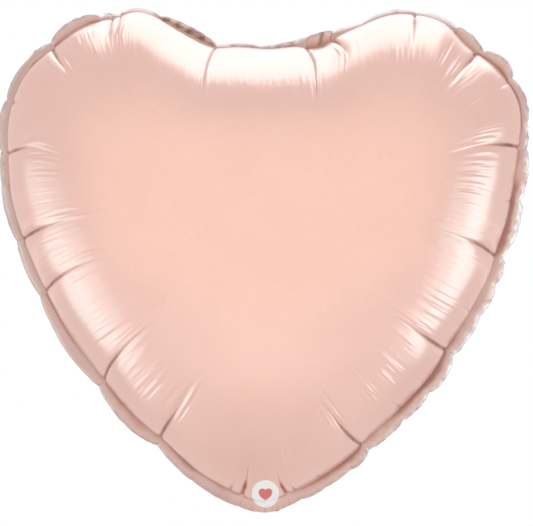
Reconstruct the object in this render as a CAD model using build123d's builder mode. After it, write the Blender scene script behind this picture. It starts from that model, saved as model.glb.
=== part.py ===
from build123d import *
import math
import os

os.makedirs("parts", exist_ok=True)

# ---------------------------------------------------------------------------
# Heart-shaped foil balloon, inflated.
# +Z up, the heart lies in the X-Z plane, its front faces -Y.
# The origin is the middle of the bottom tip, at the neck crease, where the
# balloon is tied. The two foil sheets meet on the plane y = 0.
# Millimetres throughout.
# ---------------------------------------------------------------------------

# Envelope. The film is drawn thicker than real film (0.05 mm) so that every
# wall is a proper solid.
HALF_THICKNESS = 165.0      # height of each dome above the seam plane
WALL = 0.7                  # drawn wall of a dome
BORDER_PLY = 0.8            # drawn thickness of one ply of the sealed border
POLE_Z = 379.6              # height of the point that the radii are taken from

# Directions of the radii, in degrees from straight up. The heart is
# symmetric, so the same list serves both sides.
ANGLES = [0, 10, 20, 30, 40, 50, 60, 70, 80, 90, 100, 110, 120, 130, 140,
          148, 155, 161, 166, 170.5, 175, 180]

# Outer edge of the sealed border.
BORDER = [274.0, 285.1, 321.3, 377.3, 409.8, 421.5, 417.4, 399.3, 374.4, 352.3,
          335.0, 323.0, 316.1, 314.5, 318.3, 325.4, 334.7, 345.1, 355.7, 366.1,
          375.1, 379.6]

# Contour lines of one dome: height over the seam plane as a share of
# HALF_THICKNESS, slope of the film there in degrees, radii.
LEVELS = [
    (0.000, 90.0, [260.0, 269.8, 302.3, 359.7, 395.2, 407.5, 403.2, 384.5,
                   359.4, 337.5, 320.6, 308.8, 302.1, 300.5, 304.2, 311.1,
                   320.2, 330.4, 340.8, 351.2, 360.6, 365.6]),
    (0.130, 82.0, [258.7, 268.4, 300.1, 356.2, 392.1, 404.7, 400.5, 382.0,
                   357.2, 335.8, 318.7, 307.0, 300.4, 298.9, 302.4, 309.3,
                   318.4, 328.1, 338.5, 348.7, 357.7, 362.4]),
    (0.280, 74.0, [254.1, 263.0, 292.0, 343.7, 380.8, 394.3, 390.6, 372.9,
                   349.1, 328.3, 311.9, 300.5, 293.9, 292.5, 295.9, 302.5,
                   311.1, 320.5, 329.9, 339.0, 346.9, 350.8]),
    (0.440, 63.0, [244.6, 252.2, 276.8, 320.4, 358.2, 373.4, 370.7, 354.7,
                   333.1, 313.6, 298.2, 287.4, 281.1, 279.7, 282.9, 288.9,
                   296.6, 305.1, 313.1, 320.4, 326.5, 329.4]),
    (0.600, 52.0, [228.7, 234.6, 253.6, 286.8, 321.7, 339.2, 338.7, 325.5,
                   307.1, 289.9, 276.0, 266.2, 260.5, 259.0, 261.7, 266.8,
                   273.3, 280.1, 286.3, 291.5, 295.6, 297.4]),
    (0.750, 38.0, [204.0, 208.2, 221.4, 243.9, 270.9, 289.0, 291.8, 282.9,
                   268.9, 254.9, 243.3, 234.9, 230.0, 228.5, 230.4, 234.2,
                   239.0, 243.7, 247.8, 251.0, 253.3, 254.3]),
    (0.880, 24.0, [166.3, 168.8, 176.6, 189.5, 205.8, 219.9, 225.4, 221.9,
                   213.6, 204.1, 195.8, 189.5, 185.6, 184.1, 184.9, 187.0,
                   189.6, 192.1, 194.1, 195.7, 196.7, 197.1]),
    (0.960, 12.0, [119.0, 120.3, 124.1, 130.4, 138.4, 146.2, 151.0, 151.4,
                   148.3, 143.6, 138.8, 134.9, 132.2, 130.8, 130.6, 131.1,
                   132.0, 132.8, 133.4, 133.9, 134.2, 134.3]),
    (0.992, 5.0, [71.0, 71.6, 73.1, 75.7, 78.9, 82.3, 85.0, 86.2, 86.0, 84.6,
                  82.7, 80.8, 79.3, 78.2, 77.5, 77.2, 77.2, 77.2, 77.2, 77.3,
                  77.3, 77.3]),
]

# Valve: a flat sleeve of two soft plastic films that runs from the tail,
# through the neck, up inside the envelope.
FILM = 0.40                 # drawn thickness of one valve film
FILM_HALF_GAP = 0.05        # each film stands this far off the middle plane
SLEEVE_WIDTH = 26.0
SLEEVE_TOP = 112.0          # how far the sleeve reaches up inside
CHANNEL_WIDTH = 28.0        # unsealed way through the border at the neck
CHANNEL_DEPTH = 0.45        # taken out of each ply there

# Fill tail, drawn folded up behind the envelope.
FOLD_Z = -2.0               # height of the neck crease, the fold axis
TAIL_FROM_UP = 61.0         # direction of the folded tail, degrees from up
TAIL_START = 2.6            # first solid material beyond the crease
TAIL_LENGTH = 86.0
TAIL_ROOT_WIDTH = 66.0
TAIL_WIDTH = 60.0
TAIL_TAPER = 16.0           # length over which the root narrows
TAIL_CORNER = 9.0
TAIL_PLY = 0.5              # drawn thickness of one foil ply
TAIL_HALF_GAP = 0.6         # room for the valve between the plies
TAIL_SEAL = 6.0             # width of the welded edge of the tail
PORT_RADIUS = 6.0           # round fill port, through the outer foil only
PORT_AT = 62.0              # its distance from the crease
SHORT_FILM_END = 54.0       # the film under the port stops short of it
LONG_FILM_END = 74.0        # the other film backs the port
COAT_START, COAT_END = 8.0, 34.0
COAT_WIDTH = 18.0           # ink patch between the films

# Printed mark at the foot of the front panel.
MARK_RADIUS = 17.0
MARK_Z = 32.5
MARK_THICKNESS = 0.15


def closed_line(radii, inward=0.0):
    """Points of a closed contour, moved inward along its own normal."""
    right = [(math.radians(a), r) for a, r in zip(ANGLES, radii)]
    left = [(-a, r) for a, r in right[1:-1]][::-1]
    ring = [(r * math.sin(a), r * math.cos(a)) for a, r in right + left]
    moved = []
    for i, (x, z) in enumerate(ring):
        xa, za = ring[i - 1]
        xb, zb = ring[(i + 1) % len(ring)]
        tx, tz = xb - xa, zb - za
        size = math.hypot(tx, tz)
        moved.append((x - inward * -tz / size, z - inward * tx / size))
    return [(x, z + POLE_Z) for x, z in moved]


# The seam plane as seen from the front, from outside the balloon: local x is
# +X, local y is +Z, local z is -Y. The back one is its mirror image.
front_seam = Plane(origin=(0, 0, 0), x_dir=(1, 0, 0), z_dir=(0, -1, 0))
back_seam = Plane(origin=(0, 0, 0), x_dir=(-1, 0, 0), z_dir=(0, 1, 0))


def dome_heights(inner):
    """(height, inward move, radii) for the outer or the inner skin."""
    rows = []
    for share, slope, radii in LEVELS:
        s = math.radians(slope)
        drop = WALL * math.cos(s) if inner else 0.0
        move = WALL * math.sin(s) if inner else 0.0
        rows.append((share * HALF_THICKNESS - drop, move, radii))
    return rows


with BuildPart() as front_panel:
    with BuildSketch(front_seam):
        with BuildLine():
            Spline(*closed_line(BORDER), periodic=True)
        make_face()
    extrude(amount=BORDER_PLY)
    for height, move, radii in dome_heights(inner=False):
        with BuildSketch(front_seam.offset(height)):
            with BuildLine():
                Spline(*closed_line(radii, move), periodic=True)
            make_face()
    loft()
    for height, move, radii in dome_heights(inner=True):
        with BuildSketch(front_seam.offset(height)):
            with BuildLine():
                Spline(*closed_line(radii, move), periodic=True)
            make_face()
    loft(mode=Mode.SUBTRACT)
    with BuildSketch(front_seam):
        with Locations((0, 8)):
            Rectangle(CHANNEL_WIDTH, 24)
    extrude(amount=CHANNEL_DEPTH, mode=Mode.SUBTRACT)
front_panel.part.label = "front_panel"

with BuildPart() as back_panel:
    add(mirror(front_panel.part, about=Plane.XZ))
back_panel.part.label = "back_panel"

# The two films of the valve sleeve, inside the envelope.
with BuildPart() as sleeve_front_film:
    with BuildSketch(front_seam.offset(FILM_HALF_GAP)):
        with Locations((0, SLEEVE_TOP / 2)):
            Rectangle(SLEEVE_WIDTH, SLEEVE_TOP)
    extrude(amount=FILM)
    fillet(sleeve_front_film.edges().filter_by(Axis.Y)
           .group_by(Axis.Z)[-1], radius=4)
sleeve_front_film.part.label = "sleeve_front_film"

with BuildPart() as sleeve_back_film:
    with BuildSketch(back_seam.offset(FILM_HALF_GAP)):
        with Locations((0, SLEEVE_TOP / 2)):
            Rectangle(SLEEVE_WIDTH, SLEEVE_TOP)
    extrude(amount=FILM)
    fillet(sleeve_back_film.edges().filter_by(Axis.Y)
           .group_by(Axis.Z)[-1], radius=4)
sleeve_back_film.part.label = "sleeve_back_film"

# The tail lies along tail_mid, the plane between its two foils: local y runs
# away from the crease, local z faces the back of the envelope.
lean = math.radians(TAIL_FROM_UP)
tail_mid = Plane(origin=(0, 0, FOLD_Z), x_dir=(1, 0, 0),
                 z_dir=(0, -math.cos(lean), math.sin(lean)))
tail_mid_outer = Plane(origin=(0, 0, FOLD_Z), x_dir=(-1, 0, 0),
                       z_dir=(0, math.cos(lean), -math.sin(lean)))
TAIL_OUTLINE = [
    (-TAIL_ROOT_WIDTH / 2, TAIL_START),
    (-TAIL_WIDTH / 2, TAIL_TAPER),
    (-TAIL_WIDTH / 2, TAIL_LENGTH),
    (TAIL_WIDTH / 2, TAIL_LENGTH),
    (TAIL_WIDTH / 2, TAIL_TAPER),
    (TAIL_ROOT_WIDTH / 2, TAIL_START),
]
POCKET_WIDTH = TAIL_WIDTH - 2 * TAIL_SEAL
POCKET_LENGTH = TAIL_LENGTH - TAIL_SEAL
TAIL_HEIGHT = TAIL_PLY + TAIL_HALF_GAP

with BuildPart() as tail_outer_foil:
    with BuildSketch(tail_mid_outer):
        with BuildLine():
            Polyline(*TAIL_OUTLINE, close=True)
        make_face()
    extrude(amount=TAIL_HEIGHT)
    fillet(tail_outer_foil.edges().filter_by(
        lambda e: abs(e.length - TAIL_HEIGHT) < 1e-6).sort_by(Axis.Y)[-2:],
        radius=TAIL_CORNER)
    with BuildSketch(tail_mid_outer):
        with Locations((0, POCKET_LENGTH / 2)):
            Rectangle(POCKET_WIDTH, POCKET_LENGTH)
    extrude(amount=TAIL_HALF_GAP, mode=Mode.SUBTRACT)
    with BuildSketch(tail_mid_outer):
        with Locations((0, PORT_AT)):
            Circle(PORT_RADIUS)
    extrude(amount=TAIL_HEIGHT, mode=Mode.SUBTRACT)
tail_outer_foil.part.label = "tail_outer_foil"

with BuildPart() as tail_inner_foil:
    with BuildSketch(tail_mid):
        with BuildLine():
            Polyline(*TAIL_OUTLINE, close=True)
        make_face()
    extrude(amount=TAIL_HEIGHT)
    fillet(tail_inner_foil.edges().filter_by(
        lambda e: abs(e.length - TAIL_HEIGHT) < 1e-6).sort_by(Axis.Y)[-2:],
        radius=TAIL_CORNER)
    with BuildSketch(tail_mid):
        with Locations((0, POCKET_LENGTH / 2)):
            Rectangle(POCKET_WIDTH, POCKET_LENGTH)
    extrude(amount=TAIL_HALF_GAP, mode=Mode.SUBTRACT)
tail_inner_foil.part.label = "tail_inner_foil"

# Valve films inside the tail. The one on the port's side is the shorter.
with BuildPart() as tail_valve_outer_film:
    with BuildSketch(tail_mid_outer.offset(FILM_HALF_GAP)):
        with Locations((0, (TAIL_START + SHORT_FILM_END) / 2)):
            Rectangle(SLEEVE_WIDTH, SHORT_FILM_END - TAIL_START)
    extrude(amount=FILM)
tail_valve_outer_film.part.label = "tail_valve_outer_film"

with BuildPart() as tail_valve_inner_film:
    with BuildSketch(tail_mid.offset(FILM_HALF_GAP)):
        with Locations((0, (TAIL_START + LONG_FILM_END) / 2)):
            Rectangle(SLEEVE_WIDTH, LONG_FILM_END - TAIL_START)
    extrude(amount=FILM)
tail_valve_inner_film.part.label = "tail_valve_inner_film"

# Heat-resistant ink that keeps the two films apart in the tail.
with BuildPart() as valve_release_coat:
    with BuildSketch(tail_mid.offset(-FILM_HALF_GAP)):
        with Locations((0, (COAT_START + COAT_END) / 2)):
            RectangleRounded(COAT_WIDTH, COAT_END - COAT_START, 2)
    extrude(amount=2 * FILM_HALF_GAP)
valve_release_coat.part.label = "valve_release_coat"

# The printed mark: a thin round patch that lies on the outer skin.
skin = front_panel.faces().sort_by(SortBy.AREA)[-1]
punch = Solid.extrude(
    Face(Wire(Edge.make_circle(MARK_RADIUS, Plane(
        origin=(0, 0, MARK_Z), z_dir=(0, -1, 0))))), Vector(0, -120, 0))
with BuildPart() as printed_roundel:
    thicken(skin.intersect(punch), amount=MARK_THICKNESS)
printed_roundel.part.label = "printed_roundel"

for piece in (front_panel, back_panel, sleeve_front_film, sleeve_back_film,
              tail_outer_foil, tail_inner_foil, tail_valve_outer_film,
              tail_valve_inner_film, valve_release_coat, printed_roundel):
    print(piece.part.label, round(piece.part.volume, 1),
          len(piece.part.solids()), piece.part.is_valid)

export_step(front_panel.part, "parts/front_panel.step")
export_step(back_panel.part, "parts/back_panel.step")
export_step(sleeve_front_film.part, "parts/sleeve_front_film.step")
export_step(sleeve_back_film.part, "parts/sleeve_back_film.step")
export_step(tail_outer_foil.part, "parts/tail_outer_foil.step")
export_step(tail_inner_foil.part, "parts/tail_inner_foil.step")
export_step(tail_valve_outer_film.part, "parts/tail_valve_outer_film.step")
export_step(tail_valve_inner_film.part, "parts/tail_valve_inner_film.step")
export_step(valve_release_coat.part, "parts/valve_release_coat.step")
export_step(printed_roundel.part, "parts/printed_roundel.step")
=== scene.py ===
import bpy
import math
import numpy as np
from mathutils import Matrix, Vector
from mathutils.bvhtree import BVHTree


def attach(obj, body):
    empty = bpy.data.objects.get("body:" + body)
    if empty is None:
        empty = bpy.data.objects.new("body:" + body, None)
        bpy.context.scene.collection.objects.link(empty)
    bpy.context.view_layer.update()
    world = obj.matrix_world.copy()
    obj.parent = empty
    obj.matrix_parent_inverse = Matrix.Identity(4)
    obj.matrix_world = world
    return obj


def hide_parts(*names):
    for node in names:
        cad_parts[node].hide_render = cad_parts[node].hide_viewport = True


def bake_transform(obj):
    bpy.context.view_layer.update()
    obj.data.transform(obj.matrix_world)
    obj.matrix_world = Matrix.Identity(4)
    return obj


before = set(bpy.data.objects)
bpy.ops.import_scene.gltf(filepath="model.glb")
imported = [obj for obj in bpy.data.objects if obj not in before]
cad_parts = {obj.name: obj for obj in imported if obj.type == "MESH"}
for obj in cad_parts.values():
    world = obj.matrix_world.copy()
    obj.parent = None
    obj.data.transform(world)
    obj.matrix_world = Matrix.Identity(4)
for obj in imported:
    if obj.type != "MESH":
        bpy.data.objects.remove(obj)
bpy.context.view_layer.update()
scene = bpy.context.scene
MM = 0.001

# ---------------------------------------------------------------------------
# Camera first: front-on, long lens.
# ---------------------------------------------------------------------------
cam_data = bpy.data.cameras.new("camera")
cam = bpy.data.objects.new("camera", cam_data)
scene.collection.objects.link(cam)
scene.camera = cam
CAM_DIST = 4.6
cam_data.sensor_fit = "HORIZONTAL"
cam_data.sensor_width = 36.0
VIEW_W = 533 * 1.41 * MM            # width that the frame spans at the seam plane
cam_data.lens = 36.0 * CAM_DIST / VIEW_W
cam.location = (3.5 * MM, -CAM_DIST, 351.0 * MM)
cam.rotation_euler = (math.radians(90), 0, 0)
cam_data.clip_end = 60

# ---------------------------------------------------------------------------
# The smooth heart. Radii about the pole at directions from straight up, the
# same table that the CAD solid is lofted from.
# ---------------------------------------------------------------------------
POLE_Z = 379.6
DOME = 163.0
ANG = np.array([0, 10, 20, 30, 40, 50, 60, 70, 80, 90, 100, 110, 120, 130,
                140, 148, 155, 161, 166, 170.5, 175, 180.0])
BORDER = [274.0, 285.1, 321.3, 377.3, 409.8, 421.5, 417.4, 399.3, 374.4, 352.3,
          335.0, 323.0, 316.1, 314.5, 318.3, 325.4, 334.7, 345.1, 355.7, 366.1,
          375.1, 379.6]
LEVELS = [
    (0.000, [260.0, 269.8, 302.3, 359.7, 395.2, 407.5, 403.2, 384.5, 359.4, 337.5, 320.6, 308.8, 302.1, 300.5, 304.2, 311.1, 320.2, 330.4, 340.8, 351.2, 360.6, 365.6]),
    (0.130, [258.7, 268.4, 300.1, 356.2, 392.1, 404.7, 400.5, 382.0, 357.2, 335.8, 318.7, 307.0, 300.4, 298.9, 302.4, 309.3, 318.4, 328.1, 338.5, 348.7, 357.7, 362.4]),
    (0.280, [254.1, 263.0, 292.0, 343.7, 380.8, 394.3, 390.6, 372.9, 349.1, 328.3, 311.9, 300.5, 293.9, 292.5, 295.9, 302.5, 311.1, 320.5, 329.9, 339.0, 346.9, 350.8]),
    (0.440, [244.6, 252.2, 276.8, 320.4, 358.2, 373.4, 370.7, 354.7, 333.1, 313.6, 298.2, 287.4, 281.1, 279.7, 282.9, 288.9, 296.6, 305.1, 313.1, 320.4, 326.5, 329.4]),
    (0.600, [228.7, 234.6, 253.6, 286.8, 321.7, 339.2, 338.7, 325.5, 307.1, 289.9, 276.0, 266.2, 260.5, 259.0, 261.7, 266.8, 273.3, 280.1, 286.3, 291.5, 295.6, 297.4]),
    (0.750, [204.0, 208.2, 221.4, 243.9, 270.9, 289.0, 291.8, 282.9, 268.9, 254.9, 243.3, 234.9, 230.0, 228.5, 230.4, 234.2, 239.0, 243.7, 247.8, 251.0, 253.3, 254.3]),
    (0.880, [166.3, 168.8, 176.6, 189.5, 205.8, 219.9, 225.4, 221.9, 213.6, 204.1, 195.8, 189.5, 185.6, 184.1, 184.9, 187.0, 189.6, 192.1, 194.1, 195.7, 196.7, 197.1]),
    (0.960, [119.0, 120.3, 124.1, 130.4, 138.4, 146.2, 151.0, 151.4, 148.3, 143.6, 138.8, 134.9, 132.2, 130.8, 130.6, 131.1, 132.0, 132.8, 133.4, 133.9, 134.2, 134.3]),
    (0.992, [71.0, 71.6, 73.1, 75.7, 78.9, 82.3, 85.0, 86.2, 86.0, 84.6, 82.7, 80.8, 79.3, 78.2, 77.5, 77.2, 77.2, 77.2, 77.2, 77.3, 77.3, 77.3]),
]


def spline_second(x, y, periodic=False, clamp0=False):
    """Second derivatives of a cubic spline through (x, y); y may be 2-D."""
    n = len(x)
    h = np.diff(x)
    A = np.zeros((n, n))
    B = np.zeros((n,) + y.shape[1:])
    for i in range(1, n - 1):
        A[i, i - 1], A[i, i], A[i, i + 1] = h[i - 1], 2 * (h[i - 1] + h[i]), h[i]
        B[i] = 6 * ((y[i + 1] - y[i]) / h[i] - (y[i] - y[i - 1]) / h[i - 1])
    A[0, 0] = A[-1, -1] = 1.0
    if periodic:
        A[0, 0], A[0, -1] = 1.0, -1.0
        A[-1, :] = 0
        A[-1, 0], A[-1, 1] = 2 * h[0], h[0]
        A[-1, -2], A[-1, -1] = h[-1], 2 * h[-1]
        B[-1] = 6 * ((y[1] - y[0]) / h[0] - (y[-1] - y[-2]) / h[-1])
    elif clamp0:
        A[0, 0], A[0, 1] = 2 * h[0], h[0]
        B[0] = 6 * ((y[1] - y[0]) / h[0])
    return np.linalg.solve(A, B)


def spline_at(x, y, m, q):
    k = np.clip(np.searchsorted(x, q) - 1, 0, len(x) - 2)
    h = x[k + 1] - x[k]
    a, b = (x[k + 1] - q) / h, (q - x[k]) / h
    if y.ndim > 1:
        a, b, h = a[:, None], b[:, None], h[:, None]
    return (a * y[k] + b * y[k + 1]
            + ((a ** 3 - a) * m[k] + (b ** 3 - b) * m[k + 1]) * h * h / 6)


full_ang = np.concatenate([-ANG[:0:-1], ANG])          # -180 .. 180


def around(radii, q):
    """A symmetric radius table at directions q, in degrees."""
    r = np.array(radii)
    y = np.concatenate([r[:0:-1], r])
    m = spline_second(full_ang, y, periodic=True)
    return spline_at(full_ang, y, m, np.asarray(q, float))


def smooth(t):
    t = np.clip(t, 0, 1)
    return t * t * (3 - 2 * t)


# Fine table: radius for 721 directions at 181 steps from the rim to the pole.
DIRS = np.linspace(-180, 180, 721)
lev_a = np.array([math.asin(q) for q, _ in LEVELS] + [math.pi / 2])
lev_r = np.array([around(r, DIRS) for _, r in LEVELS] + [np.zeros(721)])
lev_m = spline_second(lev_a, lev_r, clamp0=True)
STEPS = np.linspace(0, math.pi / 2, 181)
TABLE = spline_at(lev_a, lev_r, lev_m, STEPS)

# The border, walked clockwise from the tip: pinches (direction, how far the
# outer edge stands off the smooth outline), and for the stretch up to the
# next pinch its swell, the width seen from the front, and its side: below 0
# it leans to the front.
BORDER_RUNS = [
    # direction, off, swell, width, lean
    (-174.8, -2.5, 1.8, 17, 2),
    (-163, -1.3, 3, 17, -2),
    (-152.1, -8.5, 9.5, 17.5, -3),
    (-131.2, -6.8, 6.8, 16, 2),
    (-103.4, -6.2, 4.8, 14.5, 5),
    (-89.6, -5.4, 5.6, 14, 7),
    (-77.5, -2.6, 2.6, 13.5, 8),
    (-70.8, -5.4, 6, 13.5, 6),
    (-60.9, -1.5, 5, 12.5, 8),
    (-52, -2.6, 4.4, 13, 5),
    (-46.9, -9, 8, 14, -2),
    (-36, -3.4, 4, 12, 9),
    (-32.4, -9, 12, 5.5, 12.5),
    (-24.5, 2.5, 11, 18.5, 8),
    (-13.2, -9.5, 6.5, 4.5, 9),
    (-1.5, 3.0, 1.8, 6.5, 9),
    (12.1, 4.0, 3.5, 27, -5),
    (17.8, 2, 2.2, 9, 8),
    (24, -6, 8.2, 8, 9),
    (33.4, -3.2, 4.6, 6.5, 11),
    (41.8, -5.6, 5, 15.5, -3),
    (49, -11.8, 11, 14, -2),
    (56.5, -3, 8.8, 11, 3),
    (65.5, -3.4, 2.6, 12.5, 2),
    (70.3, -5.4, 4.6, 19, -2),
    (80.6, -7, 7.2, 18.5, -4),
    (93.6, -9.4, 6.6, 16.5, -3),
    (100, -4.8, 4.4, 18, -3),
    (108.6, -3.4, 4.2, 18, -1),
    (121, -6.6, 8.6, 18.5, -4),
    (132, -1.4, 4.2, 18, -2),
    (141.6, -2.8, 4.6, 17.5, -4),
    (153.2, -7, 6.2, 17, -2),
    (159, -1.4, 2, 16.5, -3),
    (165.9, -1.8, 2.6, 16, -1),
    (171.6, -5.4, 4, 16.5, 1),
]
# Creases that run in from the rim: rim point and inner end in mm (X, Z), how
# deep the pinch is, how wide, how much the film swells beside it, and how
# far the seam is pushed back (+) or forward (-).
CREASES = [
    (-66.3, 649.9, -84.6, 578.0, 5.0, 1.9, 1.4, 2.0),
    (60.6, 661.1, 71.9, 580.0, 6.0, 2.0, 2.2, -2.0),
    (95.9, 675.3, 111.4, 640.0, 6.0, 3.0, 1.5, 1.0),
    (210.1, 697.8, 203.0, 650.0, 7.0, 3.4, 2.5, 1.5),
    (294.7, 644.2, 252.0, 592.0, 9.0, 3.6, 3.0, -2.0),
    (339.8, 604.8, 322.0, 590.0, 3.0, 2.4, 0.4, 1.0),
    (365.2, 514.5, 284.8, 511.0, 10.0, 4.4, 4.0, 2.0),
    (351.0, 439.8, 335.0, 438.0, 2.5, 3.0, 0.8, 0.5),
    (328.5, 359.4, 240.0, 398.0, 9.0, 3.6, 3.4, -2.0),
    (301.7, 276.2, 286.0, 285.0, 2.5, 3.0, 0.8, 0.5),
    (259.4, 226.9, 176.0, 280.6, 8.5, 3.4, 3.0, 2.0),
    (194.6, 145.1, 180.0, 158.0, 2.5, 3.0, 0.8, -0.5),
    (135.4, 101.4, 71.9, 174.7, 8.0, 3.2, 3.0, -2.0),
    (86.0, 36.5, 78.0, 48.0, 2.5, 3.0, 0.8, 0.5),
    (36.7, 6.9, 20.0, 50.0, 12.0, 4.4, 3.0, 1.5),
    (-33.8, 8.3, -24.0, 60.0, 12.0, 4.4, 3.0, -1.5),
    (-52.0, 16.5, -42.0, 44.0, 4.5, 2.4, 0.4, 0.6),
    (50.0, 13.5, 43.0, 34.0, 4.5, 2.4, 0.4, -0.6),
    (-149.5, 97.1, -100.1, 178.0, 8.0, 3.2, 3.0, 2.0),
    (-229.8, 180.3, -158.0, 266.0, 8.0, 3.2, 3.0, -2.0),
    (-313.0, 308.6, -245.3, 352.4, 8.5, 3.4, 3.2, 2.0),
    (-344.0, 383.4, -266.5, 411.6, 8.5, 3.4, 3.2, -2.0),
    (-369.4, 506.0, -313.0, 511.0, 7.5, 3.4, 3.0, 1.5),
    (-361.0, 580.8, -345.0, 573.0, 4.5, 3.0, 1.5, -1.0),
    (-297.5, 654.1, -274.0, 616.0, 8.0, 3.4, 2.5, 1.5),
    (-212.9, 696.4, -218.0, 662.0, 6.5, 3.2, 2.0, -1.5),
    (-200.2, 697.8, -202.5, 668.0, 4.5, 3.0, 1.2, 1.0),
]

# creases with a thin dark line of painted shade over most of their length, and how dark it is
SHADE_LINES = {(36.7, 6.9): 0.9, (-33.8, 8.3): 0.9,
         (-66.3, 649.9): 1.0, (60.6, 661.1): 1.0, (210.1, 697.8): 0.8, (294.7, 644.2): 0.8,
         (365.2, 514.5): 0.7, (328.5, 359.4): 0.7, (259.4, 226.9): 0.6, (135.4, 101.4): 0.55,
         (-149.5, 97.1): 0.6, (-229.8, 180.3): 0.6, (-313.0, 308.6): 0.6, (-344.0, 383.4): 0.6,
         (-297.5, 654.1): 0.8, (-212.9, 696.4): 0.6, (-200.2, 697.8): 0.6}
# groups of tension lines on the front: centre (X, Z), how many, how far
# apart, how long, how high, how wide, all in mm
GROUPS = [
    (-152.0, 190.0, 5, 4.8, 80, 1.25, 1.4), (-104.3, 157.8, 4, 4.6, 64, 1.05, 1.4),
    (166.4, 211.4, 5, 5.2, 78, 1.25, 1.4), (135.4, 178.9, 4, 5.4, 76, 1.25, 1.4),
    (93.0, 150.7, 5, 5.2, 70, 1.05, 1.4), (-228.0, 274.0, 11, 7.6, 74, 0.95, 1.9),
    (240.0, 290.0, 10, 7.4, 70, 0.95, 1.9), (262.0, 628.0, 8, 6.4, 52, 0.75, 1.7),
    (199.0, 277.0, 5, 4.8, 62, 0.90, 1.4), (287.0, 470.0, 13, 8.4, 50, 0.85, 1.8),
    (-284.0, 362.0, 9, 7.0, 50, 0.70, 1.7), (-252.0, 320.0, 9, 7.0, 56, 0.80, 1.8),
    (-306.0, 452.0, 12, 6.8, 42, 0.55, 1.6), (262.0, 374.0, 11, 7.6, 54, 0.85, 1.9),
    (-250.0, 668.0, 8, 5.6, 24, 0.60, 1.6), (36.0, 606.0, 9, 7.6, 38, 0.85, 1.8),
    (-36.0, 600.0, 8, 8.6, 34, 0.70, 1.8), (-120.0, 232.0, 6, 6.0, 48, 0.40, 1.6),
    (110.0, 196.0, 5, 6.2, 50, 0.42, 1.6), (300.0, 516.0, 5, 6.0, 44, 0.80, 1.8),
    (-60.0, 588.0, 3, 5.0, 28, 0.55, 1.6), (190.0, 636.0, 7, 8.0, 32, 0.55, 1.8),
    (-290.0, 500.0, 4, 6.0, 40, 0.45, 1.6),
]

N_U = 1920
ROWS = 100

# ---------------------------------------------------------------------------
# Columns round the rim, closer together at the creases and exactly on them.
# ---------------------------------------------------------------------------
crease_dir = np.array([math.degrees(math.atan2(c[0], c[1] - POLE_Z)) for c in CREASES])
order = np.argsort(crease_dir)
CREASES = [CREASES[i] for i in order]
crease_dir = crease_dir[order]

fine = np.linspace(-180, 180, 14401)
rb = around(BORDER, fine)
fx, fz = rb * np.sin(np.radians(fine)), rb * np.cos(np.radians(fine))
seg = np.hypot(np.diff(fx), np.diff(fz))
arc = np.concatenate([[0], np.cumsum(seg)])
PERIM = arc[-1]
crease_arc = np.interp(crease_dir, fine, arc)
dens = np.ones(len(fine))
for a in crease_arc:
    d = (arc - a + PERIM / 2) % PERIM - PERIM / 2
    dens += 2.2 * np.exp(-(d / 12.0) ** 2)
cum = np.concatenate([[0], np.cumsum(seg * (dens[1:] + dens[:-1]) / 2)])
goal = np.interp(crease_arc, arc, cum)
col_cum = np.linspace(0, cum[-1], N_U, endpoint=False)
# pull each crease's nearest even column exactly onto it, moving neighbours smoothly
shift = np.zeros(N_U)
step = cum[-1] / N_U
crease_col = []
for g in goal:
    k = int(round(g / step / 4.0)) * 4
    off = g - k * step
    kk = (np.arange(N_U) - k + N_U // 2) % N_U - N_U // 2
    shift += off * np.exp(-(kk / 9.0) ** 2)
    crease_col.append(k % N_U)
for _ in range(6):                       # neighbours' pulls overlap, so settle
    now = col_cum + shift
    for g, k in zip(goal, crease_col):
        off = g - (col_cum[k] + shift[k])
        kk = (np.arange(N_U) - k + N_U // 2) % N_U - N_U // 2
        shift += off * np.exp(-(kk / 9.0) ** 2)
col_arc = np.interp(col_cum + shift, cum, arc)
col_dir = np.interp(col_arc, arc, fine)

# ---------------------------------------------------------------------------
# The border's outer edge and the seam, as distances off the smooth outline.
# ---------------------------------------------------------------------------
run_dir = np.array([r[0] for r in BORDER_RUNS])
run_arc = np.interp(run_dir, fine, arc)
n_run = len(BORDER_RUNS)


def runs_at(a):
    """Edge offset, seen width and lean of the border at arc positions."""
    off = np.zeros(len(a)); wid = np.zeros(len(a)); lean = np.zeros(len(a))
    for i in range(n_run):
        a0, a1 = run_arc[i], run_arc[(i + 1) % n_run]
        span = (a1 - a0) % PERIM
        t = ((a - a0) % PERIM) / span
        m = t < 1
        tt = t[m]
        o0, o1 = BORDER_RUNS[i][1], BORDER_RUNS[(i + 1) % n_run][1]
        bow = np.clip(np.sin(np.pi * tt), 0, 1) ** 0.55
        off[m] = o0 + (o1 - o0) * tt + BORDER_RUNS[i][2] * bow
        e = np.clip(np.sin(np.pi * tt), 0, 1) ** 0.35
        wid[m] = BORDER_RUNS[i][3] * (0.62 + 0.38 * e)
        lean[m] = BORDER_RUNS[i][4] * e
    return off, wid, lean


edge_off, edge_wid, edge_lean = runs_at(col_arc)


def ring_blur(v, mm):
    """Gaussian blur round the rim, by distance."""
    n = 4096
    grid = np.arange(n) * PERIM / n
    g = np.interp(grid, col_arc, v, period=PERIM)
    f = np.fft.rfft(g)
    k = np.fft.rfftfreq(n, PERIM / n)
    f *= np.exp(-2 * (np.pi * k * mm) ** 2)
    return np.interp(col_arc, grid, np.fft.irfft(f, n), period=PERIM)


# the seam follows the edge's broad shape only
seam_off = ring_blur(edge_off - edge_wid, 16.0)


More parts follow.
